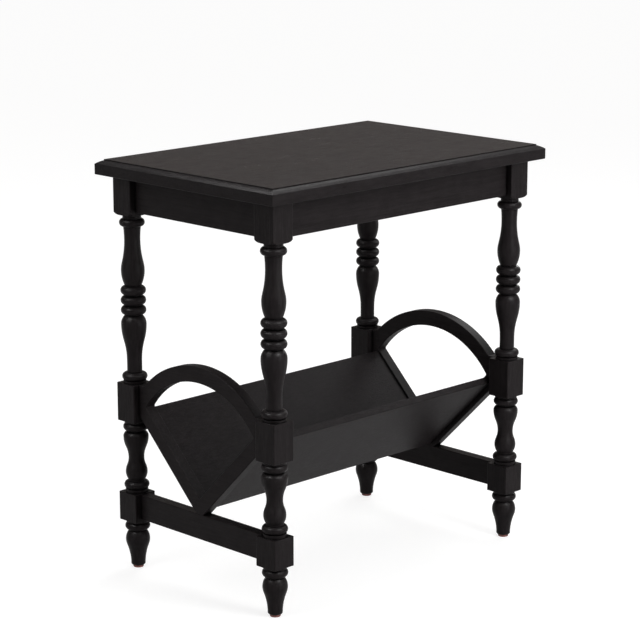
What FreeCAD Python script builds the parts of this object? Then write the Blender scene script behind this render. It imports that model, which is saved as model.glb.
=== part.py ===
import FreeCAD, Part
import math
import os
from types import SimpleNamespace

import Sketcher

# Magazine table: four turned legs, aprons, a moulded top and a V-shaped rack between two arched end panels.
# Frame: +Z up, X along the table's length, -Y the front, origin on the floor under the middle of the top.

doc = FreeCAD.newDocument("magazine_table")
sheet = doc.addObject("Spreadsheet::Sheet", "Sizes")

# Driving sizes in millimetres: alias, value, what it measures
rows = (
    ("top_length", "600", "table top along X"),
    ("top_depth", "390", "table top along Y"),
    ("top_thickness", "23.6", "table top, full thickness"),
    ("top_overhang", "19", "table top past the legs' outer faces"),
    ("mould_width", "10.3", "moulded edge, from the rim in to the quirk"),
    ("mould_drop", "7.2", "moulded edge, from the flat top down to the rim"),
    ("quirk_depth", "1.6", "small upright step between moulding and flat top"),
    ("top_easing", "1.2", "rounding of the rim's lower and upper edges"),
    ("leg_stock", "40", "leg blocks, side of the square"),
    ("leg_arris", "1.5", "rounding of the leg blocks' upright edges"),
    ("block_end_easing", "0.8", "rounding of the leg blocks' end edges"),
    ("glide_height", "4", "foot glide under the leg"),
    ("glide_diameter", "16.6", "foot glide across"),
    ("glide_easing", "1.2", "rounding of the glide's lower edge"),
    ("glide_pin_diameter", "5", "pin of the foot glide"),
    ("glide_pin_length", "12", "pin of the foot glide, into the leg"),
    ("foot_length", "74.8", "turned foot, from the glide up to the lower block"),
    ("lower_block", "46.2", "height of the lower block"),
    ("lower_turning", "115.8", "turned length between lower and middle block"),
    ("middle_block", "61.2", "height of the middle block"),
    ("upper_turning", "265", "turned length between middle and top block"),
    ("top_block", "61", "height of the top block"),
    ("bead_radius", "6.3", "half-round bead beside every block"),
    ("bead_diameter", "39.4", "turned diameter over the beads"),
    ("ring_bead_radius", "7.2", "half-round beads of the group of three"),
    ("collar_diameter", "28", "turned grooves beside the beads"),
    ("block_collar", "2.3", "turned collars beside the lower and middle blocks, in from their faces"),
    ("top_collar", "28.8", "turned collar under the top block, diameter"),
    ("collar_length", "5.4", "collar between the lower block and the bead over it"),
    ("under_collar", "3.6", "collar between the lower or middle block and the bead under it"),
    ("neck_collar", "3.7", "collar between the middle block and the bead over it"),
    ("throat_collar", "6.2", "collar between the top block and the bead under it"),
    ("pommel_rise", "5", "rounding up of the top block's lower corners"),
    ("groove_width", "1.2", "narrow grooves between turned shapes"),
    ("neck_diameter", "23.5", "slender neck of the upper turning"),
    ("urn_diameter", "39.6", "urn shapes, at their fullest"),
    ("urn_shoulder", "13.7", "upper urn, from its fullest place up to its groove"),
    ("urn_taper", "57", "upper urn, from the neck up to its fullest place"),
    ("vase_diameter", "36.6", "vase of the upper turning, at its fullest"),
    ("vase_base", "23", "vase, from its groove up to its fullest place"),
    ("vase_taper", "47.5", "vase, from its fullest place up to its throat"),
    ("throat_diameter", "24.8", "throat of the vase"),
    ("throat_flare", "21", "flare from the throat up to the bead"),
    ("flare_diameter", "27.2", "flare of the throat where it meets the bead"),
    ("baluster_shoulder", "8.3", "lower turning, from its urn's fullest place up to the groove"),
    ("baluster_base", "12.2", "lower turning, from its groove up to the belly"),
    ("baluster_belly", "34.3", "lower turning, belly diameter"),
    ("baluster_fall", "23", "lower turning, from belly up to waist"),
    ("waist_diameter", "24.6", "lower turning, waist diameter"),
    ("foot_urn_diameter", "38.3", "turned foot, at its fullest"),
    ("foot_shoulder", "14.3", "turned foot, from its fullest place up to the groove"),
    ("toe_diameter", "22.6", "turned foot at the floor end"),
    ("toe_chamfer", "1.6", "chamfer round the floor end of the foot"),
    ("rail_thickness", "18", "aprons, stretchers and end panels"),
    ("rail_easing", "1", "rounding of the long edges of aprons and stretchers"),
    ("apron_height", "56", "aprons"),
    ("stretcher_height", "40", "stretchers"),
    ("stretcher_drop", "1", "stretcher top below the lower block's top"),
    ("ring_width", "23", "width of the end panels' ring along the V"),
    ("arch_width", "24.8", "width of the end panels' ring at the crown of the arch"),
    ("tip_flat", "16", "flat tip of the V on its stretcher"),
    ("panel_seat", "11.2", "V's outer edge at the leg, above the middle block's lower end"),
    ("arch_ledge", "11.4", "ledge between the arch and the leg, level with the middle block's top"),
    ("arch_radius", "150", "inner radius of the end panels' arch"),
    ("arch_centre", "120", "outer arch's centre below the middle block's top"),
    ("panel_corner", "3", "rounding of the end panels' opening at its three corners"),
    ("panel_easing", "1.2", "rounding of the end panels' edges"),
    ("board_thickness", "11.4", "rack panels"),
    ("board_width", "185.5", "front rack panel, along its slope"),
    ("board_inset", "3.5", "rack panels' upper face below the V's inner edge"),
    ("board_easing", "0.8", "rounding of the rack panels' top edges"),
    ("corner_block_height", "40", "corner blocks"),
    ("corner_block_near", "19", "corner blocks' leg side, from the apron corner along the diagonal"),
    ("corner_block_thickness", "22", "corner blocks, along the diagonal"),
    ("dowel_diameter", "8", "dowels in legs and rails"),
    ("dowel_length", "30", "dowels in legs and rails"),
    ("dowel_bite", "12", "dowels of aprons and stretchers, depth in the leg"),
    ("dowel_edge", "13", "apron dowels, from the rail's edges"),
    ("stretcher_dowel_edge", "10", "stretcher dowels, from the rail's edges"),
    ("panel_dowel_drop", "13", "upper end panel dowel, below the middle block's top"),
    ("panel_dowel_gap", "27", "between the two end panel dowels"),
    ("pin_diameter", "6", "thin dowels of the rack panels"),
    ("pin_length", "24", "thin dowels of the rack panels"),
    ("pin_first", "38", "first thin dowel from the trough's lower edge, along the slope"),
    ("pin_spacing", "54", "between thin dowels, along the slope"),
    ("seam_bite", "8", "seam dowels, depth in the front rack panel"),
    ("seam_spacing", "120", "between seam dowels, along X"),
    ("dowel_clearance", "0.1", "all round a dowel, pin or screw, and past its ends"),
    ("hanger_diameter", "6", "hanger bolts"),
    ("hanger_bite", "24", "hanger bolts, depth in the leg"),
    ("washer_diameter", "18", "hanger washers"),
    ("washer_thickness", "1.6", "hanger washers"),
    ("nut_width", "10", "hanger nuts across the flats"),
    ("nut_height", "5", "hanger nuts"),
    ("hanger_end", "3", "hanger bolts, past their nuts"),
    ("screw_diameter", "4", "wood screws, shank"),
    ("screw_head_diameter", "8", "wood screws, head"),
    ("screw_head_height", "2.4", "wood screws, countersunk head"),
    ("top_screw_length", "30", "screws into the top"),
    ("top_screw_bite", "12", "screws into the top, depth in the top"),
    ("top_screw_offset", "15", "screws into the top, from the corner block's middle"),
    ("tip_screw_bite", "14", "stretcher screws, depth in the tip of the V"),
)
for row, (alias, number, words) in enumerate(rows, start=1):
    sheet.set(f"A{row}", words)
    sheet.set(f"B{row}", number)
    sheet.setAlias(f"B{row}", alias)
doc.recompute()


class Dim:
    """A length in millimetres together with the sheet expression that it comes from."""

    def __init__(self, number, text):
        self.number = number
        self.text = text

    def __add__(self, other):
        other = dim(other)
        return Dim(self.number + other.number, f"({self.text} + {other.text})")

    def __sub__(self, other):
        other = dim(other)
        return Dim(self.number - other.number, f"({self.text} - {other.text})")

    def __rsub__(self, other):
        return dim(other) - self

    def __mul__(self, other):
        other = dim(other)
        return Dim(self.number * other.number, f"({self.text} * {other.text})")

    def __truediv__(self, other):
        other = dim(other)
        return Dim(self.number / other.number, f"({self.text} / {other.text})")

    def __neg__(self):
        return Dim(-self.number, f"(0 - {self.text})")

    def root(self):
        return Dim(math.sqrt(self.number), f"sqrt({self.text})")

    __radd__ = __add__
    __rmul__ = __mul__


def dim(value):
    """A plain number as a Dim, so that numbers and sizes of the sheet can be mixed."""
    return value if isinstance(value, Dim) else Dim(float(value), repr(float(value)))


size = SimpleNamespace(**{alias: Dim(float(sheet.get(alias)), f"Sizes.{alias}") for alias, _, _ in rows})
ROOT2 = math.sqrt(2)

# Places worked out from the driving sizes
leg_half = size.leg_stock / 2
leg_x = size.top_length / 2 - size.top_overhang - leg_half
leg_y = size.top_depth / 2 - size.top_overhang - leg_half
rail_half = size.rail_thickness / 2
lower_block_low = size.glide_height + size.foot_length
lower_block_high = lower_block_low + size.lower_block
middle_block_low = lower_block_high + size.lower_turning
middle_block_high = middle_block_low + size.middle_block
top_block_low = middle_block_high + size.upper_turning
top_underside = top_block_low + size.top_block
apron_low = top_underside - size.apron_height
stretcher_high = lower_block_high - size.stretcher_drop
stretcher_low = stretcher_high - size.stretcher_height
panel_inner_x = leg_x - rail_half
reach_x = leg_x - leg_half
reach_y = leg_y - leg_half
fit = size.dowel_clearance
UP = (0, 0, 1)
CORNERS = (("front_left", -1, -1), ("front_right", 1, -1), ("back_left", -1, 1), ("back_right", 1, 1))
nodes = []


def node(thing, label):
    """Names a finished sub-part and keeps it for the export."""
    thing.Label = label
    nodes.append(thing)
    return thing


def place(thing, x=0, y=0, z=0, turn=None):
    """Puts an object at bound coordinates, turned so that its own Z axis runs along turn."""
    rotation = FreeCAD.Rotation(FreeCAD.Vector(*UP), FreeCAD.Vector(*(turn or UP)))
    point = [dim(value) for value in (x, y, z)]
    thing.Placement = FreeCAD.Placement(FreeCAD.Vector(*[value.number for value in point]), rotation)
    for axis, value in zip("xyz", point):
        thing.setExpression(f"Placement.Base.{axis}", value.text)
    return thing


def rod(radius, length, x, y, z, turn):
    """A plain round bar that starts at a point and runs along turn."""
    bar = doc.addObject("Part::Cylinder", "rod")
    bar.setExpression("Radius", dim(radius).text)
    bar.setExpression("Height", dim(length).text)
    return place(bar, x, y, z, turn)


def group(things, label):
    """Several like solids kept together as one sub-part."""
    bundle = doc.addObject("Part::Compound", label)
    bundle.Links = things
    return node(bundle, label)


def drilled(blank, tools, label):
    """A blank with its holes cut out."""
    holes = doc.addObject("Part::MultiFuse", label + "_holes")
    holes.Shapes = tools
    cut = doc.addObject("Part::Cut", label)
    cut.Base = blank
    cut.Tool = holes
    return node(cut, label)


class Outline:
    """A closed outline in a sketch of a body, with every corner bound to sizes of the sheet."""

    def __init__(self, body, name, role):
        self.sketch = body.newObject("Sketcher::SketchObject", name)
        plane = next(part for part in body.Origin.OriginFeatures if part.Role == role)
        self.sketch.AttachmentSupport = [(plane, "")]
        self.sketch.MapMode = "FlatFace"
        self.loop = []

    def bind(self, kind, element, point, value):
        """Holds one coordinate of a point at a size."""
        value = dim(value)
        if value.number == 0:
            axis = -2 if kind == "DistanceX" else -1
            self.sketch.addConstraint(Sketcher.Constraint("PointOnObject", element, point, axis))
            return
        number = self.sketch.addConstraint(Sketcher.Constraint(kind, -1, 1, element, point, value.number))
        self.sketch.setExpression(f"Constraints[{number}]", value.text)

    def start(self, x, y):
        self.first = self.last = (dim(x), dim(y))
        self.loop = []

    def join(self, element, begin, end, x, y):
        """Fixes the far end of a new element and ties its near end to the one before it."""
        if self.loop:
            before, before_end = self.loop[-1][0], self.loop[-1][2]
            self.sketch.addConstraint(Sketcher.Constraint("Coincident", before, before_end, element, begin))
        self.bind("DistanceX", element, end, x)
        self.bind("DistanceY", element, end, y)
        self.loop.append((element, begin, end))
        self.last = (dim(x), dim(y))

    def line(self, x, y):
        a = FreeCAD.Vector(self.last[0].number, self.last[1].number, 0)
        b = FreeCAD.Vector(dim(x).number, dim(y).number, 0)
        self.join(self.sketch.addGeometry(Part.LineSegment(a, b), False), 1, 2, x, y)

    def arc(self, x, y, centre_x=None, centre_y=None, clockwise=False):
        """An arc to a point, given one coordinate of its centre: the other follows from the two ends."""
        x0, y0 = self.last[0].number, self.last[1].number
        x1, y1 = dim(x).number, dim(y).number
        if centre_y is None:
            cx = dim(centre_x).number
            cy = (y1 ** 2 + (x1 - cx) ** 2 - y0 ** 2 - (x0 - cx) ** 2) / (2 * (y1 - y0))
        else:
            cy = dim(centre_y).number
            cx = (x1 ** 2 + (y1 - cy) ** 2 - x0 ** 2 - (y0 - cy) ** 2) / (2 * (x1 - x0))
        radius = math.hypot(x0 - cx, y0 - cy)
        circle = Part.Circle(FreeCAD.Vector(cx, cy, 0), FreeCAD.Vector(*UP), radius)
        begin_angle = math.atan2(y0 - cy, x0 - cx)
        end_angle = math.atan2(y1 - cy, x1 - cx)
        if clockwise:
            begin_angle, end_angle = end_angle, begin_angle
        if end_angle < begin_angle:
            end_angle += 2 * math.pi
        element = self.sketch.addGeometry(Part.ArcOfCircle(circle, begin_angle, end_angle), False)
        self.join(element, *((2, 1) if clockwise else (1, 2)), x, y)
        if centre_y is None:
            self.bind("DistanceX", element, 3, centre_x)
        else:
            self.bind("DistanceY", element, 3, centre_y)

    def finish(self):
        """Ties the end of the outline to its start."""
        ends = (self.loop[-1][0], self.loop[-1][2], self.loop[0][0], self.loop[0][1])
        self.sketch.addConstraint(Sketcher.Constraint("Coincident", *ends))
        return self.sketch

    def close(self):
        """A last line back to the start."""
        self.line(*self.first)
        return self.finish()


def pad(body, sketch, length):
    """A sketch padded to both sides of its plane."""
    feature = body.newObject("PartDesign::Pad", sketch.Name + "_pad")
    feature.Profile = sketch
    feature.SideType = "Symmetric"
    feature.setExpression("Length", dim(length).text)
    doc.recompute()
    return feature


def ease(body, feature, edges, radius):
    """Rounds the edges of a feature that a test picks out."""
    names = [f"Edge{i}" for i, edge in enumerate(feature.Shape.Edges, start=1) if edges(edge)]
    fillet = body.newObject("PartDesign::Fillet", feature.Name + "_easing")
    fillet.Base = (feature, names)
    fillet.setExpression("Radius", dim(radius).text)
    doc.recompute()
    return fillet


def along(edge, axis):
    """Whether a straight edge runs along one of the axes, 0 for X, 1 for Y and 2 for Z."""
    ends = [vertex.Point for vertex in edge.Vertexes]
    straight = len(ends) == 2 and edge.Curve.TypeId == "Part::GeomLine"
    return straight and abs(abs(ends[1][axis] - ends[0][axis]) - edge.Length) < 1e-6


def flat_at(edge, axis, level):
    """Whether an edge lies wholly at one level of an axis."""
    box = edge.BoundBox
    low, high = ((box.XMin, box.XMax), (box.YMin, box.YMax), (box.ZMin, box.ZMax))[axis]
    return abs(low - level) < 1e-4 and abs(high - level) < 1e-4


def radius_of(edge):
    """How far an edge's ends stand from the Z axis."""
    return min(math.hypot(vertex.X, vertex.Y) for vertex in edge.Vertexes)


# Table top: a moulded board. The same edge section runs along all four sides and mitres at the corners:
# a rim, a shallow arc with its centre well inside the board, and a quirk up to the flat top.
def top_section(name, role, axis, half_width, length):
    body = doc.addObject("PartDesign::Body", name)
    top = top_underside + size.top_thickness
    rim = top - size.mould_drop
    inner = half_width - size.mould_width
    eased = top_underside + size.top_easing
    outline = Outline(body, name + "_section", role)
    outline.start(half_width - size.top_easing, top_underside)
    outline.arc(half_width, eased, centre_y=eased)
    outline.line(half_width, rim)
    outline.arc(inner, top - size.quirk_depth, centre_x=inner - size.mould_width)
    outline.line(inner, top)
    outline.line(-inner, top)
    outline.line(-inner, top - size.quirk_depth)
    outline.arc(-half_width, rim, centre_x=size.mould_width - inner)
    outline.line(-half_width, eased)
    outline.arc(-(half_width - size.top_easing), top_underside, centre_y=eased)
    board = pad(body, outline.close(), length)
    ease(body, board, lambda edge: along(edge, axis) and flat_at(edge, 2, rim.number), size.top_easing)
    return body


top_blank = doc.addObject("Part::Common", "top_blank")
top_blank.Base = top_section("top_long", "XZ_Plane", 1, size.top_length / 2, size.top_depth)
top_blank.Tool = top_section("top_cross", "YZ_Plane", 0, size.top_depth / 2, size.top_length)

# Corner blocks sit across the apron corners, each drilled for a hanger bolt into the leg and two screws
# up into the top
block_near = size.corner_block_near
block_far = size.corner_block_near + size.corner_block_thickness
block_low = top_underside - size.corner_block_height
hanger_level = (apron_low + top_underside) / 2
hanger_start = (leg_half - rail_half) * ROOT2 - size.hanger_bite
hanger_stop = block_far + size.washer_thickness + size.nut_height + size.hanger_end
hanger_bore = size.hanger_diameter / 2 + fit
top_screw_seat = top_underside + size.top_screw_bite - size.top_screw_length
shank_radius = size.screw_diameter / 2
head_radius = size.screw_head_diameter / 2


def on_diagonal(corner, distance, aside=0, from_leg=False):
    """A point in plan: distance from the apron corner towards the middle, then aside across that."""
    _, side_x, side_y = corner
    x = (0 if from_leg else leg_x) - rail_half - (dim(distance) + aside) / ROOT2
    y = (0 if from_leg else leg_y) - rail_half - (dim(distance) - aside) / ROOT2
    return x * side_x, y * side_y


def corner_block_blank(corner):
    """The block's plan, with both ends cut to lie on the aprons."""
    name = "corner_block_" + corner[0]
    body = doc.addObject("PartDesign::Body", name + "_blank")
    outline = Outline(body, name + "_plan", "XY_Plane")
    outline.start(*on_diagonal(corner, block_near, block_near))
    outline.line(*on_diagonal(corner, block_far, block_far))
    outline.line(*on_diagonal(corner, block_far, -block_far))
    outline.line(*on_diagonal(corner, block_near, -block_near))
    pad(body, outline.close(), size.corner_block_height)
    return place(body, z=top_underside - size.corner_block_height / 2)


def taper(wide, narrow, height, x, y, z):
    """A cone that narrows upwards."""
    cone = doc.addObject("Part::Cone", "taper")
    cone.setExpression("Radius1", dim(wide).text)
    cone.setExpression("Radius2", dim(narrow).text)
    cone.setExpression("Height", dim(height).text)
    return place(cone, x, y, z)


def screw(length, x, y, seat):
    """A countersunk wood screw that points up, with the flat of its head at seat."""
    whole = doc.addObject("Part::Fuse", "screw")
    whole.Base = taper(head_radius, shank_radius, size.screw_head_height, x, y, seat)
    whole.Tool = rod(shank_radius, length, x, y, seat, UP)
    return whole


def screw_hole(x, y, seat, high):
    """The countersunk hole of such a screw."""
    sink = taper(head_radius + fit, shank_radius + fit, size.screw_head_height, x, y, seat)
    return [sink, rod(shank_radius + fit, high - seat, x, y, seat, UP)]


def ring(outer, inner, height, x, y, z, turn):
    """A flat ring."""
    cut = doc.addObject("Part::Cut", "ring")
    cut.Base = rod(outer, height, x, y, z, turn)
    cut.Tool = rod(inner, height, x, y, z, turn)
    return cut


def nut(x, y, z, turn):
    """A plain hexagon nut."""
    hexagon = doc.addObject("Part::Prism", "hexagon")
    hexagon.Polygon = 6
    hexagon.setExpression("Circumradius", (size.nut_width / math.sqrt(3)).text)
    hexagon.setExpression("Height", size.nut_height.text)
    cut = doc.addObject("Part::Cut", "nut")
    cut.Base = place(hexagon, x, y, z, turn)
    cut.Tool = rod(hanger_bore, size.nut_height, x, y, z, turn)
    return cut


top_screws = []
top_pilots = []
hanger_bolts = []
hanger_washers = []
hanger_nuts = []
for corner in CORNERS:
    label, side_x, side_y = corner
    inward = (-side_x, -side_y, 0)
    spot = on_diagonal(corner, hanger_start)
    length = hanger_stop - hanger_start
    hanger_bolts.append(rod(size.hanger_diameter / 2, length, *spot, hanger_level, inward))
    spot = on_diagonal(corner, block_far)
    hanger_washers.append(
        ring(size.washer_diameter / 2, hanger_bore, size.washer_thickness, *spot, hanger_level, inward))
    spot = on_diagonal(corner, block_far + size.washer_thickness)
    hanger_nuts.append(nut(*spot, hanger_level, inward))
    spot = on_diagonal(corner, block_near)
    holes = [rod(hanger_bore, size.corner_block_thickness, *spot, hanger_level, inward)]
    for aside in (-size.top_screw_offset, size.top_screw_offset):
        spot = on_diagonal(corner, (block_near + block_far) / 2, aside)
        top_screws.append(screw(size.top_screw_length, *spot, top_screw_seat))
        top_pilots.append(rod(shank_radius + fit, size.top_screw_bite + fit, *spot, top_underside, UP))
        holes += screw_hole(*spot, top_screw_seat, top_underside)
        holes.append(rod(head_radius + fit, top_screw_seat - block_low, *spot, block_low, UP))
    drilled(corner_block_blank(corner), holes, "corner_block_" + label)
drilled(top_blank, top_pilots, "table_top")
group(top_screws, "top_screws")
group(hanger_bolts, "hanger_bolts")
group(hanger_washers, "hanger_washers")
group(hanger_nuts, "hanger_nuts")


# Rails: aprons and stretchers are plain boards with eased edges, dowelled into the middle of the leg faces
def rail_blank(name, axis, length, low, high, eased):
    """A board along X or Y, with its section drawn across it."""
    body = doc.addObject("PartDesign::Body", name + "_blank")
    outline = Outline(body, name + "_section", "YZ_Plane" if axis == 0 else "XZ_Plane")
    outline.start(-rail_half, low)
    outline.line(rail_half, low)
    outline.line(rail_half, high)
    outline.line(-rail_half, high)
    board = pad(body, outline.close(), length)
    ease(body, board, lambda edge: along(edge, axis) and edge.BoundBox.ZMax < eased, size.rail_easing)
    return body


def dowels(axis, spot, side, bite, levels, spare=0):
    """Dowels through a leg face at spot, bite deep in the leg; with spare to be their holes."""
    turn = ((1, 0, 0), (0, 1, 0))[axis]
    start = [dim(value) for value in spot]
    start[axis] = start[axis] - (size.dowel_length - bite if side > 0 else bite) - spare
    length = size.dowel_length + dim(spare) * 2
    return [rod(size.dowel_diameter / 2 + spare, length, *start, level, turn) for level in levels]


panel_bite = size.dowel_length - size.ring_width / 2
apron_levels = (apron_low + size.dowel_edge, top_underside - size.dowel_edge)
stretcher_levels = (stretcher_low + size.stretcher_dowel_edge, stretcher_high - size.stretcher_dowel_edge)
panel_high = middle_block_high - size.panel_dowel_drop
panel_levels = (panel_high - size.panel_dowel_gap, panel_high)

apron_dowels = []
for label, side_y in (("front", -1), ("back", 1)):
    name = "apron_" + label
    blank = rail_blank(name, 0, reach_x * 2, apron_low, top_underside, top_underside.number)
    holes = []
    for side_x in (-1, 1):
        spot = (reach_x * side_x, leg_y * side_y)
        apron_dowels += dowels(0, spot, side_x, size.dowel_bite, apron_levels)
        holes += dowels(0, spot, side_x, size.dowel_bite, apron_levels, fit)
    drilled(place(blank, y=leg_y * side_y), holes, name)
for label, side_x in (("left", -1), ("right", 1)):
    name = "apron_" + label
    blank = rail_blank(name, 1, reach_y * 2, apron_low, top_underside, top_underside.number)
    holes = []
    for side_y in (-1, 1):
        spot = (leg_x * side_x, reach_y * side_y)
        apron_dowels += dowels(1, spot, side_y, size.dowel_bite, apron_levels)
        holes += dowels(1, spot, side_y, size.dowel_bite, apron_levels, fit)
    drilled(place(blank, x=leg_x * side_x), holes, name)
group(apron_dowels, "apron_dowels")

# Stretchers, one low rail per end, each with a screw up into the tip of the V that stands on it
stretcher_dowels = []
stretcher_screws = []
for label, side_x in (("left", -1), ("right", 1)):
    name = "stretcher_" + label
    x = leg_x * side_x
    blank = rail_blank(name, 1, reach_y * 2, stretcher_low, stretcher_high, stretcher_high.number + 1)
    holes = screw_hole(x, 0, stretcher_low, stretcher_high)
    for side_y in (-1, 1):
        spot = (x, reach_y * side_y)
        stretcher_dowels += dowels(1, spot, side_y, size.dowel_bite, stretcher_levels)
        holes += dowels(1, spot, side_y, size.dowel_bite, stretcher_levels, fit)
    stretcher_screws.append(screw(size.stretcher_height + size.tip_screw_bite, x, 0, stretcher_low))
    drilled(place(blank, x=x), holes, name)
group(stretcher_dowels, "stretcher_dowels")
group(stretcher_screws, "stretcher_screws")

# The V rises from its tip on the stretcher to its seat on the middle block, at these sizes at 45 degrees.
# Its sides and the rack panels are given by the levels where they would meet over the table's middle line.
v_run = reach_y - size.tip_flat / 2
v_climb = middle_block_low + size.panel_seat - stretcher_high
v_slant = (v_run * v_run + v_climb * v_climb).root()
v_across = v_run / v_slant
v_upward = v_climb / v_slant
v_slope = v_climb / v_run
v_outer = stretcher_high - size.tip_flat / 2 * v_slope
v_inner = v_outer + size.ring_width / v_across
board_upper = v_inner - size.board_inset / v_across
board_lower = board_upper - size.board_thickness / v_across
board_middle = (board_upper + board_lower) / 2
seam = size.board_thickness / (v_across * v_upward * 2)


def on_slope(side_y, distance, height):
    """A point of the trough's section: distance up one slope from a height over the table's middle line."""
    return v_across * distance * side_y, v_upward * distance + height


def rack_pins(side_x, side_y, spare=0):
    """Thin dowels between a rack panel and an end panel; with spare to be their holes."""
    pins = []
    for step in range(3):
        y, z = on_slope(side_y, size.pin_first + size.pin_spacing * step, board_middle)
        x = panel_inner_x * side_x - size.pin_length / 2 - spare
        length = size.pin_length + dim(spare) * 2
        pins.append(rod(size.pin_diameter / 2 + spare, length, x, y, z, (1, 0, 0)))
    return pins


# End panels: one flat ring each, an arch above and a V below, dowelled to the middle blocks. The ring is
# rounded along its edges first and then sawn off square where it meets the legs and its stretcher.
def end_panel_blank(name, x):
    body = doc.addObject("PartDesign::Body", name + "_ring")
    face = Outline(body, name + "_face", "YZ_Plane")
    waste = size.tip_flat / 4
    tip = size.tip_flat / 2 - waste
    end = reach_y + waste
    spring = reach_y - size.arch_ledge
    outer_level = middle_block_high - size.arch_centre
    outer_radius = (spring * spring + size.arch_centre * size.arch_centre).root()
    face.start(-tip, v_outer + v_slope * tip)
    face.line(tip, v_outer + v_slope * tip)
    face.line(end, v_outer + v_slope * end)
    face.line(end, middle_block_high)
    face.line(spring, middle_block_high)
    face.arc(-spring, middle_block_high, centre_y=outer_level)
    face.line(-end, middle_block_high)
    face.line(-end, v_outer + v_slope * end)
    face.close()
    # the inner circle gives the ring's width at the crown and ends where it meets the inner sides of the V
    inner_level = outer_level + outer_radius - size.arch_width - size.arch_radius
    rise = v_inner - inner_level
    squares = v_slope * v_slope + 1
    chord = (squares * size.arch_radius * size.arch_radius - rise * rise).root()
    inner_y = (chord - v_slope * rise) / squares
    face.start(0, v_inner)
    face.line(inner_y, v_inner + v_slope * inner_y)
    face.arc(-inner_y, v_inner + v_slope * inner_y, centre_y=inner_level)
    slab = pad(body, face.close(), size.rail_thickness)

    def clear(spot):
        """Whether a point lies well inside the outer sides of the V and of the arch."""
        margin = size.ring_width.number / 2
        above_v = spot.z - abs(spot.y) * v_slope.number - v_outer.number
        below_arch = outer_radius.number - math.hypot(spot.y, spot.z - outer_level.number)
        return above_v > margin and below_arch > margin

    def inside(edge):
        """Whether an edge belongs to the ring's opening."""
        first, last = edge.ParameterRange
        return clear(edge.valueAt(first)) and clear(edge.valueAt((first + last) / 2))

    def on_face(edge):
        return flat_at(edge, 0, rail_half.number) or flat_at(edge, 0, -rail_half.number)

    slab = ease(body, slab, lambda edge: along(edge, 0) and inside(edge), size.panel_corner)
    slab = ease(body, slab, lambda edge: on_face(edge) and inside(edge), size.panel_easing)
    ease(body, slab, lambda edge: on_face(edge) and not inside(edge), size.panel_easing)
    kept = doc.addObject("Part::Box", name + "_kept")
    kept.setExpression("Length", size.rail_thickness.text)
    kept.setExpression("Width", (reach_y * 2).text)
    kept.setExpression("Height", (size.arch_radius * 3).text)
    sawn = doc.addObject("Part::Common", name + "_blank")
    sawn.Base = place(body, x=x)
    sawn.Tool = place(kept, x - rail_half, -reach_y, stretcher_high)
    return sawn


end_panel_dowels = []
for label, side_x in (("left", -1), ("right", 1)):
    name = "end_panel_" + label
    x = leg_x * side_x
    holes = [rod(shank_radius + fit, size.tip_screw_bite + fit, x, 0, stretcher_high, UP)]
    for side_y in (-1, 1):
        spot = (x, reach_y * side_y)
        end_panel_dowels += dowels(1, spot, side_y, panel_bite, panel_levels)
        holes += dowels(1, spot, side_y, panel_bite, panel_levels, fit)
        holes += rack_pins(side_x, side_y, fit)
    drilled(end_panel_blank(name, x), holes, name)
group(end_panel_dowels, "end_panel_dowels")


# Rack panels: two boards that meet in a V. The front one runs down to the trough's lower edge and the back
# one butts against its upper face, held by blind dowels along the seam.
def rack_blank(name, side_y, first):
    body = doc.addObject("PartDesign::Body", name + "_blank")
    section = Outline(body, name + "_section", "YZ_Plane")
    section.start(*on_slope(side_y, first, board_lower))
    section.line(*on_slope(side_y, size.board_width, board_lower))
    section.line(*on_slope(side_y, size.board_width - v_slope * size.board_thickness, board_upper))
    section.line(*on_slope(side_y, first - seam, board_upper))
    board = pad(body, section.close(), panel_inner_x * 2)
    upper = board.Shape.BoundBox.ZMax - size.board_thickness.number
    ease(body, board, lambda edge: along(edge, 0) and edge.BoundBox.ZMin > upper, size.board_easing)
    return body


def seam_pins(spare=0):
    """Blind dowels along the seam, up the middle of the back panel; with spare to be their holes."""
    pins = []
    for step in (-1.5, -0.5, 0.5, 1.5):
        y, z = on_slope(1, seam / 2 - size.seam_bite - spare, board_middle)
        x = size.seam_spacing * step
        length = size.pin_length + dim(spare) * 2
        slope = (0, v_run.number, v_climb.number)
        pin = rod(size.pin_diameter / 2 + spare, length, x, y, z, slope)
        pin.setExpression("Placement.Rotation.Angle", f"atan({v_run.text} / {v_climb.text})")
        pins.append(pin)
    return pins


rack_dowels = []
for label, side_y, first in (("front", -1, dim(0)), ("back", 1, seam)):
    name = f"rack_{label}_panel"
    holes = seam_pins(fit)
    for side_x in (-1, 1):
        rack_dowels += rack_pins(side_x, side_y)
        holes += rack_pins(side_x, side_y, fit)
    drilled(rack_blank(name, side_y, first), holes, name)
group(rack_dowels, "rack_dowels")
group(seam_pins(), "seam_dowels")


# Legs: turned from square stock, with three blocks left square. The turned outline is made of beads, coves
# and ogees; an ogee is two arcs that meet on the chord between its fullest and its slimmest place.
RING_BEADS = 3


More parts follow.
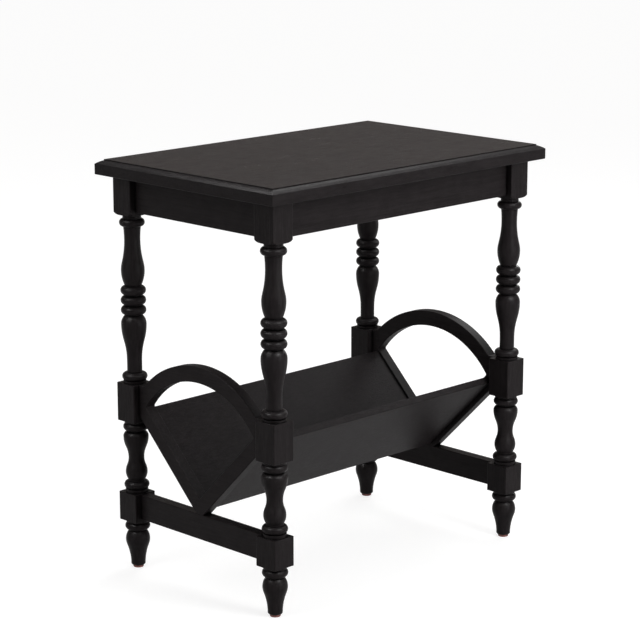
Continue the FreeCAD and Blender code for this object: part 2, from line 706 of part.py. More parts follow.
class Turning(Outline):
    """A turned outline, drawn from the floor up, with the radius across."""

    def up(self, radius, height):
        """A straight length of a new radius, with a square step to it."""
        level = self.last[1]
        self.line(radius, level)
        self.line(radius, level + height)

    def bead(self, core, radius):
        """A half-round bead, after a square step to its core."""
        level = self.last[1]
        if core.text != self.last[0].text:
            self.line(core, level)
        self.arc(core, level + radius * 2, centre_x=core)

    def ogee(self, diameter, height, share):
        """Two arcs to a new diameter, upright at both ends; share is the first arc's part of the way."""
        x0, y0 = self.last
        x1, y1 = diameter / 2, y0 + height
        swelling = x1.number > x0.number
        self.arc(x0 + (x1 - x0) * share, y0 + (y1 - y0) * share, centre_y=y0, clockwise=swelling)
        self.arc(x1, y1, centre_y=y1, clockwise=not swelling)

    def swell(self, diameter, height):
        """One convex arc out to the fullest place, where it stands upright."""
        level = self.last[1] + height
        self.arc(diameter / 2, level, centre_y=level)

    def shoulder(self, diameter, height):
        """One convex arc in from the fullest place, where it stands upright."""
        level = self.last[1]
        self.arc(diameter / 2, level + height, centre_y=level)

    def flare(self, diameter, height):
        """One concave arc out from the slimmest place, where it stands upright."""
        level = self.last[1]
        self.arc(diameter / 2, level + height, centre_y=level, clockwise=True)


def turned_outline(body):
    """The whole leg's turned outline, with a plain core inside the square blocks."""
    core = size.bead_diameter / 2 - size.bead_radius
    ring_core = size.bead_diameter / 2 - size.ring_bead_radius
    collar = leg_half - size.block_collar
    toe = size.toe_diameter / 2
    bead = size.bead_radius * 2
    groove = size.groove_width
    leg = Turning(body, "leg_outline", "XZ_Plane")
    leg.start(0, size.glide_height)
    # foot: a chamfered toe, a long ogee, a shoulder and the bead under the lower block
    leg.line(toe - size.toe_chamfer, size.glide_height)
    leg.line(toe, size.glide_height + size.toe_chamfer)
    rest = size.toe_chamfer + size.foot_shoulder + groove + bead + size.under_collar
    leg.ogee(size.foot_urn_diameter, size.foot_length - rest, 0.79)
    leg.shoulder(size.collar_diameter, size.foot_shoulder)
    leg.up(core, groove)
    leg.bead(core, size.bead_radius)
    leg.up(collar, size.under_collar + size.lower_block + size.collar_length)
    # lower turning: a bead, a belly that falls to a waist, an urn and a bead under the middle block
    leg.bead(core, size.bead_radius)
    leg.line(core, leg.last[1] + groove * 2)
    leg.swell(size.baluster_belly, size.baluster_base)
    leg.ogee(size.waist_diameter, size.baluster_fall, 0.46)
    rest = (size.collar_length + bead + groove * 2 + size.baluster_base + size.baluster_fall
            + size.baluster_shoulder + groove + bead + size.under_collar)
    leg.ogee(size.urn_diameter, size.lower_turning - rest, 0.51)
    leg.shoulder(size.collar_diameter, size.baluster_shoulder)
    leg.up(core, groove)
    leg.bead(core, size.bead_radius)
    leg.up(collar, size.under_collar + size.middle_block + size.neck_collar)
    # upper turning: a bead, a straight neck, a tall urn, three ring beads, a vase and one more bead
    leg.bead(core, size.bead_radius)
    rings = (size.ring_bead_radius * 2 + groove) * RING_BEADS
    rest = (size.neck_collar + bead + size.urn_taper + size.urn_shoulder + groove + rings
            + size.vase_base + size.vase_taper + size.throat_flare + bead + size.throat_collar)
    leg.up(size.neck_diameter / 2, size.upper_turning - rest)
    leg.ogee(size.urn_diameter, size.urn_taper, 0.55)
    leg.shoulder(size.collar_diameter, size.urn_shoulder)
    leg.up(ring_core, groove)
    for _ in range(RING_BEADS):
        leg.bead(ring_core, size.ring_bead_radius)
        leg.line(ring_core, leg.last[1] + groove)
    leg.line(core, leg.last[1])
    leg.swell(size.vase_diameter, size.vase_base)
    leg.ogee(size.throat_diameter, size.vase_taper, 0.25)
    leg.flare(size.flare_diameter, size.throat_flare)
    leg.bead(core, size.bead_radius)
    leg.up(size.top_collar / 2, size.throat_collar + size.top_block)
    leg.line(0, leg.last[1])
    return leg.close()


def leg_blank():
    """One turned leg without its holes, standing on the origin."""
    body = doc.addObject("PartDesign::Body", "leg_blank")
    outline = turned_outline(body)
    shape = body.newObject("PartDesign::Revolution", "leg_turning")
    shape.Profile = outline
    shape.ReferenceAxis = (outline, ["V_Axis"])
    shape.Angle = 360
    doc.recompute()
    blocks = (("lower", lower_block_low, size.lower_block), ("middle", middle_block_low, size.middle_block),
              ("top", top_block_low, size.top_block))
    for name, low, height in blocks:
        square = Outline(body, name + "_square", "XY_Plane")
        square.start(-leg_half, -leg_half)
        square.line(leg_half, -leg_half)
        square.line(leg_half, leg_half)
        square.line(-leg_half, leg_half)
        square.close()
        square.sketch.setExpression("AttachmentOffset.Base.z", low.text)
        shape = body.newObject("PartDesign::Pad", name + "_block")
        shape.Profile = square.sketch
        shape.setExpression("Length", height.text)
        doc.recompute()
    outside = leg_half.number * 1.2
    shape = ease(body, shape, lambda edge: along(edge, 2) and radius_of(edge) > outside, size.leg_arris)
    ends = [level.number for name, low, height in blocks[:2] for level in (low, low + height)]
    edge_radius = leg_half.number * 0.9

    def on_end(edge):
        return radius_of(edge) > edge_radius and any(flat_at(edge, 2, level) for level in ends)

    shape = ease(body, shape, on_end, size.block_end_easing)
    # the top block's lower corners are rounded up by the turning
    pommel = Outline(body, "pommel", "XZ_Plane")
    corner = leg_half * ROOT2
    pommel.start(leg_half, top_block_low)
    pommel.line(corner, top_block_low)
    pommel.line(corner, top_block_low + size.pommel_rise)
    pommel.arc(leg_half, top_block_low, centre_x=leg_half, clockwise=True)
    turned = body.newObject("PartDesign::Groove", "pommel_groove")
    turned.Profile = pommel.finish()
    turned.ReferenceAxis = (pommel.sketch, ["V_Axis"])
    turned.Angle = 360
    doc.recompute()
    return body


blank = leg_blank()
glide_bore = size.glide_pin_diameter / 2 + fit
for corner in CORNERS:
    label, side_x, side_y = corner
    inward = (-side_x, -side_y, 0)
    face_x = (-leg_half * side_x, dim(0))
    face_y = (dim(0), -leg_half * side_y)
    spot = on_diagonal(corner, hanger_start - fit, from_leg=True)
    holes = [rod(hanger_bore, size.hanger_bite * 2, *spot, hanger_level, inward)]
    holes.append(rod(glide_bore, size.glide_pin_length + fit, 0, 0, size.glide_height, UP))
    holes += dowels(0, face_x, side_x, size.dowel_bite, apron_levels, fit)
    holes += dowels(1, face_y, side_y, size.dowel_bite, apron_levels, fit)
    holes += dowels(1, face_y, side_y, size.dowel_bite, stretcher_levels, fit)
    holes += dowels(1, face_y, side_y, panel_bite, panel_levels, fit)
    place(drilled(blank, holes, "leg_" + label), leg_x * side_x, leg_y * side_y)

# Foot glides: round pads with an eased lower edge and a pin up into the leg
for label, side_x, side_y in CORNERS:
    body = doc.addObject("PartDesign::Body", "glide_" + label)
    outline = Outline(body, label + "_glide_outline", "XZ_Plane")
    pad_radius = size.glide_diameter / 2
    pin_radius = size.glide_pin_diameter / 2
    outline.start(0, 0)
    outline.line(pad_radius - size.glide_easing, 0)
    outline.arc(pad_radius, size.glide_easing, centre_y=size.glide_easing)
    outline.line(pad_radius, size.glide_height)
    outline.line(pin_radius, size.glide_height)
    outline.line(pin_radius, size.glide_height + size.glide_pin_length)
    outline.line(0, size.glide_height + size.glide_pin_length)
    turned = body.newObject("PartDesign::Revolution", label + "_glide_turning")
    turned.Profile = outline.close()
    turned.ReferenceAxis = (outline.sketch, ["V_Axis"])
    turned.Angle = 360
    node(place(body, leg_x * side_x, leg_y * side_y), "glide_" + label)

doc.recompute()
for thing in doc.Objects:
    if "Invalid" in thing.State or "Error" in thing.State:
        raise RuntimeError(f"{thing.Label} did not build: {thing.State}")
for part in nodes:
    if part.Shape.isNull() or not part.Shape.isValid():
        raise RuntimeError(f"{part.Label} has no valid shape")
os.makedirs("parts", exist_ok=True)
for part in nodes:
    part.Shape.exportStep(f"parts/{part.Label}.step")
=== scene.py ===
import math

import bmesh
import bpy
from mathutils import Matrix, Vector


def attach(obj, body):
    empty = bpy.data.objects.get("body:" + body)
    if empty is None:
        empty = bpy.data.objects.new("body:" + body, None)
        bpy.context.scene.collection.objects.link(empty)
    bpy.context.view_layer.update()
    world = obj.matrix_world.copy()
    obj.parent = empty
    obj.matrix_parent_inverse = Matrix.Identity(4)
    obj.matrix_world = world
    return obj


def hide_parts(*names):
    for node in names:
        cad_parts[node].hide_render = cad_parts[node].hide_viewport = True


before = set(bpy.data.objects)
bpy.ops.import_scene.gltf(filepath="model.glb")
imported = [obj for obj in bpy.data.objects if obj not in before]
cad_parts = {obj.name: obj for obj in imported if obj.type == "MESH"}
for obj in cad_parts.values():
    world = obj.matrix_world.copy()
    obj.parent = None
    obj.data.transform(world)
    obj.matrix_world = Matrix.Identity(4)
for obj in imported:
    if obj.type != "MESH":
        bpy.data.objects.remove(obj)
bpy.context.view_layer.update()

# Legs: four square posts, each turned between three blocks that are left square for the joints.
# Hardwood, primed and sprayed with satin black paint, which lets a little of the grain show.
CORNERS = ("front_left", "front_right", "back_left", "back_right")


def shader_node(tree, kind, **values):
    """A shader node with its settings, or its unlinked sockets, given by name."""
    made = tree.nodes.new(kind)
    for name, value in values.items():
        if name in made.inputs:
            made.inputs[name].default_value = value
        else:
            setattr(made, name, value)
    return made


def new_finish(name):
    """A new material, with its node tree, its surface shader and the place that its pattern follows."""
    made = bpy.data.materials.new(name)
    made.use_nodes = True
    tree = made.node_tree
    place = shader_node(tree, "ShaderNodeTexCoord").outputs["Object"]
    return made, tree, tree.nodes["Principled BSDF"], place


def mottle(tree, place, scale, detail, roughness, distortion=0.0):
    """Uneven light and dark over a place, from 0 to 1."""
    noise = shader_node(tree, "ShaderNodeTexNoise", Scale=scale, Detail=detail, Roughness=roughness,
                        Distortion=distortion)
    tree.links.new(place, noise.inputs["Vector"])
    return noise.outputs["Fac"]


def two_tones(tree, level, span, dark, light):
    """A colour that goes from dark to light as a level goes through a span, low and high."""
    ramp = shader_node(tree, "ShaderNodeValToRGB")
    for stop, position, tone in zip(ramp.color_ramp.elements, span, (dark, light)):
        stop.position = position
        stop.color = (*tone, 1)
    tree.links.new(level, ramp.inputs["Fac"])
    return ramp.outputs["Color"]


def rescaled(tree, level, source, target, interpolation="LINEAR"):
    """A level taken from one span, low and high, to another."""
    made = shader_node(tree, "ShaderNodeMapRange", interpolation_type=interpolation)
    for name, value in zip(("From Min", "From Max", "To Min", "To Max"), source + target):
        made.inputs[name].default_value = value
    tree.links.new(level, made.inputs["Value"])
    return made.outputs["Result"]


def added(tree, level, share, other):
    """A share of one level, added to another level."""
    made = shader_node(tree, "ShaderNodeMath", operation="MULTIPLY_ADD")
    tree.links.new(level, made.inputs[0])
    made.inputs[1].default_value = share
    tree.links.new(other, made.inputs[2])
    return made.outputs["Value"]


def roughen(tree, surface, height, strength, depth):
    """Raises and lowers a surface by a height from 0 to 1, over a depth in metres."""
    bump = shader_node(tree, "ShaderNodeBump", Strength=strength, Distance=depth)
    tree.links.new(height, bump.inputs["Height"])
    tree.links.new(bump.outputs["Normal"], surface.inputs["Normal"])


def black_paint(name, grain, dull=0.30, gloss=0.036, relief=0.34):
    """Satin black paint over open-pored wood; grain is how fast its figure changes along X, Y and Z, per metre."""
    thick_coat = (0.0092, 0.0077, 0.0081)
    thin_coat = (0.0160, 0.0137, 0.0144)
    tint_span, sheen_span = (0.52, 1.0), (0.5, 1.1)
    thin_coat_dulling = 0.12
    patches_per_metre, patch_share = 42.0, 0.6
    # painted shade: how far the occlusion reaches into creases, and how dark the coat colour is painted there
    crease_reach, crease_span, crease_shade = 0.009, (0.42, 0.82), (0.12, 1.0)
    pore_fineness, pore_span, pore_depth = (3.2, 3.2, 3.2), (0.30, 0.44), 0.00035
    figure_share = 0.8
    made, tree, surface, place = new_finish(name)
    surface.inputs["Specular IOR Level"].default_value = gloss
    # streaks of the wood's figure, telegraphed through the paint
    along = shader_node(tree, "ShaderNodeMapping", Scale=grain)
    tree.links.new(place, along.inputs["Vector"])
    figure = mottle(tree, along.outputs["Vector"], 1.0, detail=4.0, roughness=0.6, distortion=0.3)
    # the sprayed coat is a little thinner, so lighter, in some patches than in others
    patches = mottle(tree, place, patches_per_metre, detail=3.0, roughness=0.6)
    thinness = added(tree, patches, patch_share, figure)
    tint = two_tones(tree, thinness, tint_span, thick_coat, thin_coat)
    # painted shade: the coat colour is darkened by ambient occlusion in the creases beside beads, quirks and
    # joints, where shade falls
    crease = shader_node(tree, "ShaderNodeAmbientOcclusion", samples=6, Distance=crease_reach)
    painted_crease_shade = rescaled(tree, crease.outputs["AO"], crease_span, crease_shade)
    coat = shader_node(tree, "ShaderNodeMix", data_type="RGBA", blend_type="MULTIPLY", Factor=1.0)
    tree.links.new(tint, coat.inputs["A"])
    tree.links.new(painted_crease_shade, coat.inputs["B"])
    tree.links.new(coat.outputs["Result"], surface.inputs["Base Color"])
    # short open pores, only a few of which the paint leaves as dents
    short = shader_node(tree, "ShaderNodeMapping", Scale=pore_fineness)
    tree.links.new(along.outputs["Vector"], short.inputs["Vector"])
    pores = mottle(tree, short.outputs["Vector"], 1.0, detail=1.0, roughness=0.5)
    dents = rescaled(tree, pores, pore_span, (0.0, 1.0), "SMOOTHSTEP")
    roughen(tree, surface, added(tree, figure, figure_share, dents), relief, pore_depth)
    # a thin coat dries duller
    sheen = rescaled(tree, thinness, sheen_span, (dull, dull + thin_coat_dulling))
    tree.links.new(sheen, surface.inputs["Roughness"])
    return made


def dress(names, material):
    """Gives CAD nodes a material on every slot."""
    for name in names:
        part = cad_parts[name]
        if not part.material_slots:
            part.data.materials.append(material)
        for place in part.material_slots:
            place.material = material


paint_upright = black_paint("black_paint_upright", (300, 300, 16))
dress(["leg_" + corner for corner in CORNERS], paint_upright)

# Foot glides: small round pads pinned under the legs so that the end grain stays off the floor.
# Moulded in a matt reddish brown plastic, with fine flecks.
glide_dark = (0.150, 0.050, 0.044)
glide_light = (0.260, 0.094, 0.080)
flecks_per_metre, fleck_span = 420.0, (0.3, 0.75)
glide_brown, tree, surface, place = new_finish("glide_brown")
fleck = mottle(tree, place, flecks_per_metre, detail=3.0, roughness=0.6)
tree.links.new(two_tones(tree, fleck, fleck_span, glide_dark, glide_light), surface.inputs["Base Color"])
surface.inputs["Roughness"].default_value = 0.72
dress(["glide_" + corner for corner in CORNERS], glide_brown)

# Aprons: four plain boards between the top blocks, dowelled and glued to the legs.
# The same painted hardwood, with its grain along each board.
paint_long = black_paint("black_paint_long", (16, 300, 300))
paint_cross = black_paint("black_paint_cross", (300, 16, 300))
dress(["apron_front", "apron_back"], paint_long)
dress(["apron_left", "apron_right"], paint_cross)

# Corner blocks and dowels: bare hardwood, glued and screwed behind the aprons where nobody looks.
# The dowels sit blind in the joints of aprons, stretchers, end panels and rack panels.


def bare_wood(name, turn):
    """Sawn pale hardwood, with its grain level and turned by some degrees from X."""
    late_wood = (0.42, 0.275, 0.155)
    early_wood = (0.66, 0.50, 0.33)
    streak, streak_span = (0.070, 0.004, 0.004), (0.3, 0.72)
    saw_strength, saw_depth = 0.25, 0.0005
    made, tree, surface, place = new_finish(name)
    along = shader_node(tree, "ShaderNodeMapping", vector_type="TEXTURE",
                        Rotation=(0, 0, math.radians(turn)), Scale=streak)
    tree.links.new(place, along.inputs["Vector"])
    figure = mottle(tree, along.outputs["Vector"], 1.0, detail=6.0, roughness=0.65, distortion=0.4)
    tree.links.new(two_tones(tree, figure, streak_span, late_wood, early_wood), surface.inputs["Base Color"])
    roughen(tree, surface, figure, saw_strength, saw_depth)
    surface.inputs["Roughness"].default_value = 0.66
    return made


wood_falling = bare_wood("bare_wood_falling", -45)
wood_rising = bare_wood("bare_wood_rising", 45)
dress(["corner_block_front_left", "corner_block_back_right"], wood_falling)
dress(["corner_block_front_right", "corner_block_back_left"], wood_rising)
dress(["apron_dowels", "stretcher_dowels", "end_panel_dowels", "rack_dowels", "seam_dowels"], wood_rising)

# Hanger bolts: one M6 bolt through each corner block, with a wood screw end driven into the leg's inner edge
# and a machine thread for the nut. Zinc plated steel, cut and rolled.
corner_x, corner_y, bolt_level = 0.252, 0.147, 0.600
thread_low, thread_high = 0.0355, 0.0506
thread_root, thread_crest, thread_pitch = 0.00246, 0.0030, 0.0010
bolt_end_from, bolt_end_taper = 0.0503, 0.90
shank_radius, shank_length, shank_middle = 0.0026, 0.0440, 0.0140
zinc_dark = (0.46, 0.46, 0.47)
zinc_light = (0.70, 0.70, 0.72)
zinc_dulling = (0.24, 0.46)
spangles_per_metre, spangle_span = 700.0, (0.0, 1.0)
zinc, tree, surface, place = new_finish("zinc_plate")
surface.inputs["Metallic"].default_value = 1.0
spangle = mottle(tree, place, spangles_per_metre, detail=3.0, roughness=0.6)
tree.links.new(two_tones(tree, spangle, spangle_span, zinc_dark, zinc_light), surface.inputs["Base Color"])
tree.links.new(rescaled(tree, spangle, spangle_span, zinc_dulling), surface.inputs["Roughness"])


def points_among(items):
    """The vertices among the items that an operator made."""
    return [item for item in items if isinstance(item, bmesh.types.BMVert)]


def onto_corners(shape):
    """Copies a shape built along Z to the four corners, with Z inwards from the corner where two aprons meet."""
    first = shape.verts[:] + shape.edges[:] + shape.faces[:]
    upward = Vector((0, 0, 1))
    for side_x, side_y in ((-1, -1), (1, -1), (-1, 1), (1, 1)):
        copied = bmesh.ops.duplicate(shape, geom=first)["geom"]
        inward = Vector((-side_x, -side_y, 0)).normalized()
        turned = Matrix((upward, inward.cross(upward), inward)).transposed().to_4x4()
        turned.translation = (corner_x * side_x, corner_y * side_y, bolt_level)
        bmesh.ops.transform(shape, matrix=turned, verts=points_among(copied))
    bmesh.ops.delete(shape, geom=points_among(first), context="VERTS")


def steel_piece(shape, name, node):
    """Makes an object of a shape, with smooth rounds and crisp edges, to stand for a node."""
    crisp = math.radians(28)
    bmesh.ops.recalc_face_normals(shape, faces=shape.faces[:])
    for face in shape.faces:
        face.smooth = True
    for edge in shape.edges:
        edge.smooth = edge.is_manifold and edge.calc_face_angle() < crisp
    mesh = bpy.data.meshes.new(name)
    shape.to_mesh(mesh)
    shape.free()
    mesh.materials.append(zinc)
    piece = bpy.data.objects.new(name, mesh)
    bpy.context.scene.collection.objects.link(piece)
    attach(piece, "root")
    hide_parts(node)


def thread(shape, root, crest, pitch, low, high):
    """A right-handed thread along Z between two levels, closed at both ends."""
    steps, spare_turns, lead_in = 24, 2, 1.5
    merge, flat = 1e-7, 1e-6
    turns = math.ceil((high - low) / pitch) + spare_turns
    start = low - pitch * lead_in
    flank = ((root, 0), (root, 0.12), (crest, 0.44), (crest, 0.56), (root, 0.88), (root, 1))
    corners = [shape.verts.new((radius, 0, start + pitch * part)) for radius, part in flank]
    edges = [shape.edges.new(pair) for pair in zip(corners, corners[1:])]
    bmesh.ops.spin(shape, geom=corners + edges, cent=(0, 0, 0), axis=(0, 0, 1), dvec=(0, 0, pitch / steps),
                   angle=math.tau * turns, steps=steps * turns, use_merge=False)
    bmesh.ops.remove_doubles(shape, verts=shape.verts[:], dist=merge)
    for level, side in ((low, -1), (high, 1)):
        everything = shape.verts[:] + shape.edges[:] + shape.faces[:]
        bmesh.ops.bisect_plane(shape, geom=everything, plane_co=(0, 0, level), plane_no=(0, 0, side),
                               clear_outer=True)
        cut = [edge for edge in shape.edges
               if edge.is_boundary and all(abs(vert.co.z - level) < flat for vert in edge.verts)]
        bmesh.ops.holes_fill(shape, edges=cut, sides=0)


bolts = bmesh.new()
thread(bolts, thread_root, thread_crest, thread_pitch, thread_low, thread_high)
bmesh.ops.scale(bolts, vec=(bolt_end_taper, bolt_end_taper, 1),
                verts=[vert for vert in bolts.verts if vert.co.z > bolt_end_from])
bmesh.ops.create_cone(bolts, cap_ends=True, segments=32, radius1=shank_radius, radius2=shank_radius,
                      depth=shank_length, matrix=Matrix.Translation((0, 0, shank_middle)))
onto_corners(bolts)
steel_piece(bolts, "threaded_hanger_bolts", "hanger_bolts")

# Washers: one flat ring under each nut, which spreads its pull over the soft wood of the corner block.
# Punched from sheet steel, so the edges are slightly rounded, and zinc plated.
washer_hole, washer_rim = 0.0032, 0.0090
washer_level, washer_thickness = 0.0410, 0.0016
washer_rounding, square_edge = 0.0003, 1.0
washers = bmesh.new()
bmesh.ops.create_circle(washers, segments=48, radius=washer_hole)
bmesh.ops.create_circle(washers, segments=48, radius=washer_rim)
bmesh.ops.bridge_loops(washers, edges=washers.edges[:])
bmesh.ops.translate(washers, vec=(0, 0, washer_level), verts=washers.verts[:])
raised = bmesh.ops.extrude_face_region(washers, geom=washers.faces[:])["geom"]
bmesh.ops.translate(washers, vec=(0, 0, washer_thickness), verts=points_among(raised))
bmesh.ops.recalc_face_normals(washers, faces=washers.faces[:])
bmesh.ops.bevel(washers, geom=[edge for edge in washers.edges if edge.calc_face_angle() > square_edge],
                offset=washer_rounding, offset_type="OFFSET", segments=3, profile=0.5, affect="EDGES",
                material=-1)
onto_corners(washers)
steel_piece(washers, "punched_washers", "hanger_washers")

# Nuts: plain hexagon nuts, 10 mm across the flats, tightened until the leg sits hard in its corner.
# Forged and tapped, with the corners turned off to a cone at both ends, zinc plated.
nut_bore, nut_face, nut_flat = 0.0031, 0.0047, 0.0050
nut_level, nut_height = 0.0426, 0.0050
nut_slope, nut_slope_from = math.tan(math.radians(30)), 0.0001
nuts = bmesh.new()
bmesh.ops.create_circle(nuts, segments=24, radius=nut_bore)
bore = nuts.edges[:]
bmesh.ops.create_circle(nuts, segments=24, radius=nut_face)
ring = [edge for edge in nuts.edges if edge not in bore]
bmesh.ops.create_circle(nuts, segments=6, radius=nut_flat / math.cos(math.radians(30)))
flats = [edge for edge in nuts.edges if edge not in bore and edge not in ring]
bmesh.ops.subdivide_edges(nuts, edges=flats, cuts=3)
flats = [edge for edge in nuts.edges if edge not in bore and edge not in ring]
bmesh.ops.bridge_loops(nuts, edges=bore + ring)
bmesh.ops.bridge_loops(nuts, edges=ring + flats)
raised = bmesh.ops.extrude_face_region(nuts, geom=nuts.faces[:])["geom"]
bmesh.ops.translate(nuts, vec=(0, 0, nut_height), verts=points_among(raised))
for vert in nuts.verts:
    past_face = vert.co.xy.length - nut_face
    if past_face > nut_slope_from:
        vert.co.z += past_face * nut_slope * (1 if vert.co.z < nut_height / 2 else -1)
bmesh.ops.translate(nuts, vec=(0, 0, nut_level), verts=nuts.verts[:])
onto_corners(nuts)
steel_piece(nuts, "hexagon_nuts", "hanger_nuts")

# Wood screws: eight up through the corner blocks into the top, and one up through each stretcher into the V.
# Countersunk steel screws with a cross recess and a point, zinc plated.
top_screw_level, top_screw_length = 0.610, 0.030
top_screw_inset, top_screw_aside = 0.030, 0.015
stretcher_screw_x, stretcher_screw_level, stretcher_screw_length = 0.261, 0.084, 0.054


def wood_screw(shape, place, length):
    """A countersunk screw with its head's flat face at a place and its point upwards."""
    head, neck, core, tip = 0.0040, 0.0020, 0.0018, 0.0003
    head_edge, head_depth, point_length, tip_loss = 0.0003, 0.0024, 0.006, 0.0004
    wing, arm = 0.0006, 0.0023
    recess_depth, recess_draft = 0.0016, 0.00025
    outline = ((head_edge, head), (head_depth, neck), (length - point_length, core), (length - tip_loss, tip))
    before = set(shape.verts)
    bmesh.ops.create_circle(shape, segments=48, radius=head)
    rim = [edge for edge in shape.edges if edge.verts[0] not in before]
    cross = []
    for quarter in range(4):
        turn = Matrix.Rotation(math.radians(90) * quarter, 3, "Z")
        cross += [shape.verts.new(turn @ Vector(spot))
                  for spot in ((wing, wing, 0), (wing, arm, 0), (-wing, arm, 0))]
    recess = shape.faces.new(cross)
    bmesh.ops.inset_region(shape, faces=[recess], thickness=recess_draft, depth=0.0, use_even_offset=True)
    bmesh.ops.translate(shape, vec=(0, 0, recess_depth), verts=recess.verts)
    mouth = [edge for edge in shape.edges
             if edge.is_boundary and edge not in rim and edge.verts[0] not in before]
    bmesh.ops.bridge_loops(shape, edges=rim + mouth)
    loop = rim
    for level, radius in outline:
        grown = bmesh.ops.extrude_edge_only(shape, edges=loop)["geom"]
        loop = [item for item in grown if isinstance(item, bmesh.types.BMEdge)]
        for vert in points_among(grown):
            vert.co = vert.co.xy.normalized().to_3d() * radius + Vector((0, 0, level))
    bmesh.ops.holes_fill(shape, edges=loop, sides=0)
    bmesh.ops.translate(shape, vec=place, verts=[vert for vert in shape.verts if vert not in before])


screws = bmesh.new()
for side_x in (-1, 1):
    for side_y in (-1, 1):
        for aside in (-top_screw_aside, top_screw_aside):
            x = corner_x - (top_screw_inset + aside) / math.sqrt(2)
            y = corner_y - (top_screw_inset - aside) / math.sqrt(2)
            wood_screw(screws, (x * side_x, y * side_y, top_screw_level), top_screw_length)
steel_piece(screws, "cross_recess_top_screws", "top_screws")
screws = bmesh.new()
for side_x in (-1, 1):
    wood_screw(screws, (stretcher_screw_x * side_x, 0, stretcher_screw_level), stretcher_screw_length)
steel_piece(screws, "cross_recess_stretcher_screws", "stretcher_screws")

# Stretchers: one low board at each end, between the lower blocks of two legs, dowelled and glued like the aprons.
# Painted hardwood; the tip of the end panel's V stands on it and is screwed from below.
dress(["stretcher_left", "stretcher_right"], paint_cross)

# End panels: a flat ring at each end, with an arch above and a V below, that carries the rack.
# Sawn from one hardwood board, its edges eased, dowelled to the middle blocks and painted with a drier coat.
paint_panel = black_paint("black_paint_panel", (300, 16, 300), dull=0.40)
dress(["end_panel_left", "end_panel_right"], paint_panel)

# Rack panels: two thin boards that meet at a right angle in the bottom of the V and make the trough.
# Open-pored hardwood under a dry coat of the same paint, dowelled to the end panels and to each other.
paint_rack = black_paint("black_paint_rack", (80, 260, 260), dull=0.44, gloss=0.032, relief=0.60)
dress(["rack_front_panel", "rack_back_panel"], paint_rack)

# Table top: one board with an ovolo and a quirk run round its edge, screwed up from the corner blocks.
# Glued up hardwood with the grain along the table, sanded finer than the rest, so its paint is a little glossier.
paint_top = black_paint("black_paint_top", (40, 260, 260), dull=0.26, relief=0.42)
dress(["table_top"], paint_top)

# Floor and backdrop: a plain pale studio floor with a low white wall far behind the table on every side.
# Matt white board, which takes the table's shadow and shows white in the gloss.
floor_radius, wall_height = 30, 2.6
floor_white, wall_white = 0.75, 0.88
board_grey = (0.38, 0.38, 0.38, 1)


def white_board(name, white):
    """Matt board that looks white to the eye and in gloss, and throws back only its own share of the light."""
    made = bpy.data.materials.new(name)
    made.use_nodes = True
    tree = made.node_tree
    link = tree.links.new
    tree.nodes.remove(tree.nodes["Principled BSDF"])
    matt = shader_node(tree, "ShaderNodeBsdfDiffuse", Color=board_grey)
    glow = shader_node(tree, "ShaderNodeEmission", Color=(1, 1, 1, 1))
    rays = shader_node(tree, "ShaderNodeLightPath")
    seen = rays.outputs["Is Camera Ray"]
    for kind in ("Is Glossy Ray", "Is Transmission Ray"):
        either = shader_node(tree, "ShaderNodeMath", operation="MAXIMUM")
        link(seen, either.inputs[0])
        link(rays.outputs[kind], either.inputs[1])
        seen = either.outputs["Value"]
    lift = shader_node(tree, "ShaderNodeMath", operation="MULTIPLY")
    link(seen, lift.inputs[0])
    lift.inputs[1].default_value = white
    link(lift.outputs["Value"], glow.inputs["Strength"])
    both = shader_node(tree, "ShaderNodeAddShader")
    link(matt.outputs["BSDF"], both.inputs[0])
    link(glow.outputs["Emission"], both.inputs[1])
    link(both.outputs["Shader"], tree.nodes["Material Output"].inputs["Surface"])
    return made


boards = bmesh.new()
bmesh.ops.create_circle(boards, cap_ends=True, segments=128, radius=floor_radius)
risen = bmesh.ops.extrude_edge_only(boards, edges=boards.edges[:])["geom"]
bmesh.ops.translate(boards, vec=(0, 0, wall_height), verts=points_among(risen))
# the wall is made of four-cornered faces and the floor is one face with many corners
for face in boards.faces:
    face.material_index = 0 if len(face.verts) > 4 else 1
mesh = bpy.data.meshes.new("floor")
boards.to_mesh(mesh)
boards.free()
mesh.materials.append(white_board("studio_floor", floor_white))
mesh.materials.append(white_board("studio_wall", wall_white))
floor = bpy.data.objects.new("floor", mesh)
bpy.context.scene.collection.objects.link(floor)

# Studio light: a pale dome that is brighter overhead, two tall strip lights that draw a soft line down each turned
# leg, and a softbox hung behind on the right for the light line along the top's moulding. Five small boxes
# only add highlights, on the beads, the rack's upper edges, the left moulding and the right ring.
dome_rise, dome_strength = (0.20, 0.90), (0.23, 0.75)
warm_span, dome_warm, dome_white = (0.2, 0.5), (1, 0.82, 0.72), (1, 1, 1)
world = bpy.data.worlds.new("studio")
bpy.context.scene.world = world
world.use_nodes = True
tree = world.node_tree
tree.nodes.clear()
where = shader_node(tree, "ShaderNodeTexCoord")
parts = shader_node(tree, "ShaderNodeSeparateXYZ")
tree.links.new(where.outputs["Generated"], parts.inputs["Vector"])
upward = parts.outputs["Z"]
dome = shader_node(tree, "ShaderNodeBackground")
tree.links.new(two_tones(tree, upward, warm_span, dome_warm, dome_white), dome.inputs["Color"])
tree.links.new(rescaled(tree, upward, dome_rise, dome_strength, "SMOOTHSTEP"), dome.inputs["Strength"])
out = shader_node(tree, "ShaderNodeOutputWorld")
tree.links.new(dome.outputs["Background"], out.inputs["Surface"])


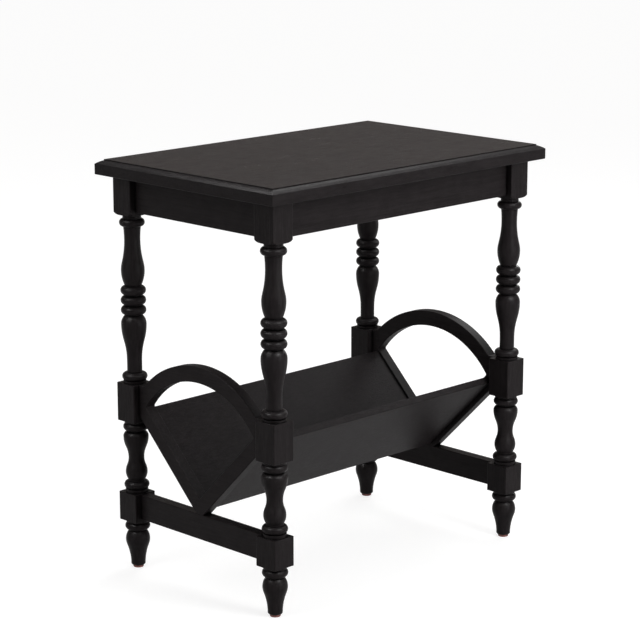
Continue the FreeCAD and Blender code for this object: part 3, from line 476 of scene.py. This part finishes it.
def soft_lamp(name, place, aim, width, height, energy, gloss_only=False):
    """A rectangular soft lamp that the camera doesn't see; with gloss_only it gives highlights alone."""
    lamp = bpy.data.lights.new(name, "AREA")
    lamp.shape = "RECTANGLE"
    lamp.size = width
    lamp.size_y = height
    lamp.energy = energy
    made = bpy.data.objects.new(name, lamp)
    bpy.context.scene.collection.objects.link(made)
    made.location = place
    made.rotation_euler = (Vector(aim) - Vector(place)).to_track_quat("-Z", "Y").to_euler()
    made.visible_camera = False
    made.visible_diffuse = not gloss_only


soft_lamp("key_strip", (0.14, -1.60, 1.12), aim=(0.0, 0.0, 1.12), width=0.55, height=2.20, energy=28.0)
soft_lamp("fill_strip", (-1.70, 0.24, 1.12), aim=(0.0, 0.0, 1.12), width=0.50, height=2.20, energy=6.5)
soft_lamp("softbox", (1.70, 0.72, 2.72), aim=(0.0, 0.0, 0.6), width=1.1, height=1.1, energy=25.0)
soft_lamp("bead_box_right", (-0.02, -2.07, 2.19), aim=(-0.1, -0.1, 0.45), width=1.2, height=0.6, energy=170.0,
          gloss_only=True)
soft_lamp("bead_box_left", (-2.11, 0.41, 2.19), aim=(-0.1, -0.1, 0.45), width=1.2, height=0.6, energy=140.0,
          gloss_only=True)
soft_lamp("rack_box", (2.45, -0.80, 2.75), aim=(0.0, 0.0, 0.4), width=1.0, height=1.0, energy=24.0,
          gloss_only=True)
soft_lamp("rim_box", (-0.34, 0.55, 1.62), aim=(-0.3, -0.15, 0.64), width=0.30, height=0.30, energy=11.0,
          gloss_only=True)
soft_lamp("ring_box", (0.53, 0.00, 0.575), aim=(0.26, -0.03, 0.32), width=0.20, height=0.20, energy=1.0,
          gloss_only=True)

# Camera: a long lens at about chest height, looking over the table's front left corner.
# It stands where the lines of the table's edges, followed back from the picture, put it.
camera_place = (-2.43641, -2.41958, 1.19236)
camera_sight = Vector((0.689168, 0.687317, -0.229442))
lens = bpy.data.cameras.new("camera")
lens.sensor_width = 36
lens.lens = 125.736
lens.clip_end = 100
camera = bpy.data.objects.new("camera", lens)
bpy.context.scene.collection.objects.link(camera)
camera.location = camera_place
camera.rotation_euler = camera_sight.to_track_quat("-Z", "Y").to_euler()
bpy.context.scene.camera = camera
bpy.context.scene.view_settings.view_transform = "Standard"
